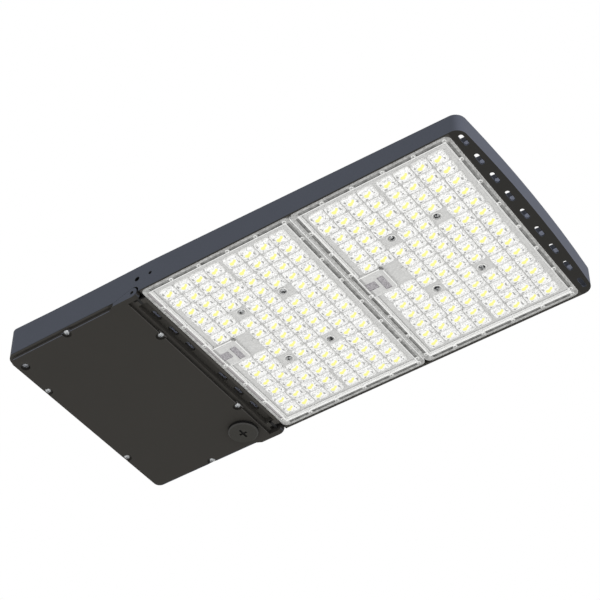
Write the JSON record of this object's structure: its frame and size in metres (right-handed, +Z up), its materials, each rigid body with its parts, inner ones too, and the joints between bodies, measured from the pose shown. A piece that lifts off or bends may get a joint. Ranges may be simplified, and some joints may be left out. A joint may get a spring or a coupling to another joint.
{
  "type": "led floodlight",
  "caption": "Slim yoke-mounted area floodlight with a hinged driver cover, a vented heat sink and LED modules under clear lens arrays.",
  "frame": {"origin": "middle of the yoke pivot axis, between the two side walls", "axes": "+X to the nose, +Y across the light along the pivot axis, +Z up; the light shines along -Z"},
  "size_m": [0.685, 0.3174, 0.0566],
  "materials": {
    "housing_coat": "blue-grey powder coat on die-cast aluminium",
    "cover_coat": "near-black fine powder coat",
    "lens_plastic": "clear moulded polycarbonate",
    "board_white": "white solder resist on an aluminium board",
    "led_package": "yellow phosphor",
    "stainless": "stainless steel",
    "zinc_earth": "plain brass",
    "black_rubber": "matt rubber",
    "grey_silicone": "matt silicone",
    "connector_plastic": "moulded nylon",
    "lead_jacket": "insulated wire",
    "driver_case": "plain extruded case",
    "black_plastic": "moulded plastic",
    "terminal_plastic": "ivory moulded plastic"
  },
  "bodies": {
    "root": {"housing": "housing_coat", "led_board_rear": "board_white", "led_board_front": "board_white", "led_chips_rear": "led_package", "led_chips_front": "led_package", "lens_array_rear": "lens_plastic", "lens_array_front": "lens_plastic", "lens_seal_rear": "grey_silicone", "lens_seal_front": "grey_silicone", "module_screws": "stainless", "board_connectors": "connector_plastic", "lead_seals": "grey_silicone", "board_leads": "lead_jacket", "lead_grommet": "black_rubber", "led_driver": "driver_case", "driver_end_caps": "black_plastic", "driver_screws": "stainless", "driver_leads": "lead_jacket", "surge_protector": "black_plastic", "surge_protector_screws": "stainless", "terminal_block": "terminal_plastic", "terminal_block_screws": "stainless", "terminal_screws": "stainless", "surge_leads": "lead_jacket", "inner_earth_screw": "zinc_earth", "outer_earth_screw": "stainless", "earth_washers": "stainless", "supply_grommet": "black_rubber", "hinge_pins": "stainless"},
    "cover": {"driver_cover": "cover_coat", "cover_gasket": "black_rubber", "cover_screws": "stainless", "screw_retainers": "black_plastic", "port_socket": "black_plastic", "port_seal": "grey_silicone", "port_nut": "black_plastic"},
    "cap": {"port_cap": "cover_coat", "port_cap_seal": "grey_silicone"}
  },
  "joints": [
    {"name": "cover_hinge", "type": "hinge", "parent": "root", "child": "cover", "pos_m": [-0.007, 0, -0.0198], "axis": [0, -1, 0], "range_deg": [0, 90]},
    {"name": "port_cap_turn", "type": "hinge", "parent": "cover", "child": "cap", "pos_m": [-0.042, 0.124, -0.0302], "axis": [0, 0, -1], "range_deg": [0, 90]}
  ]
}
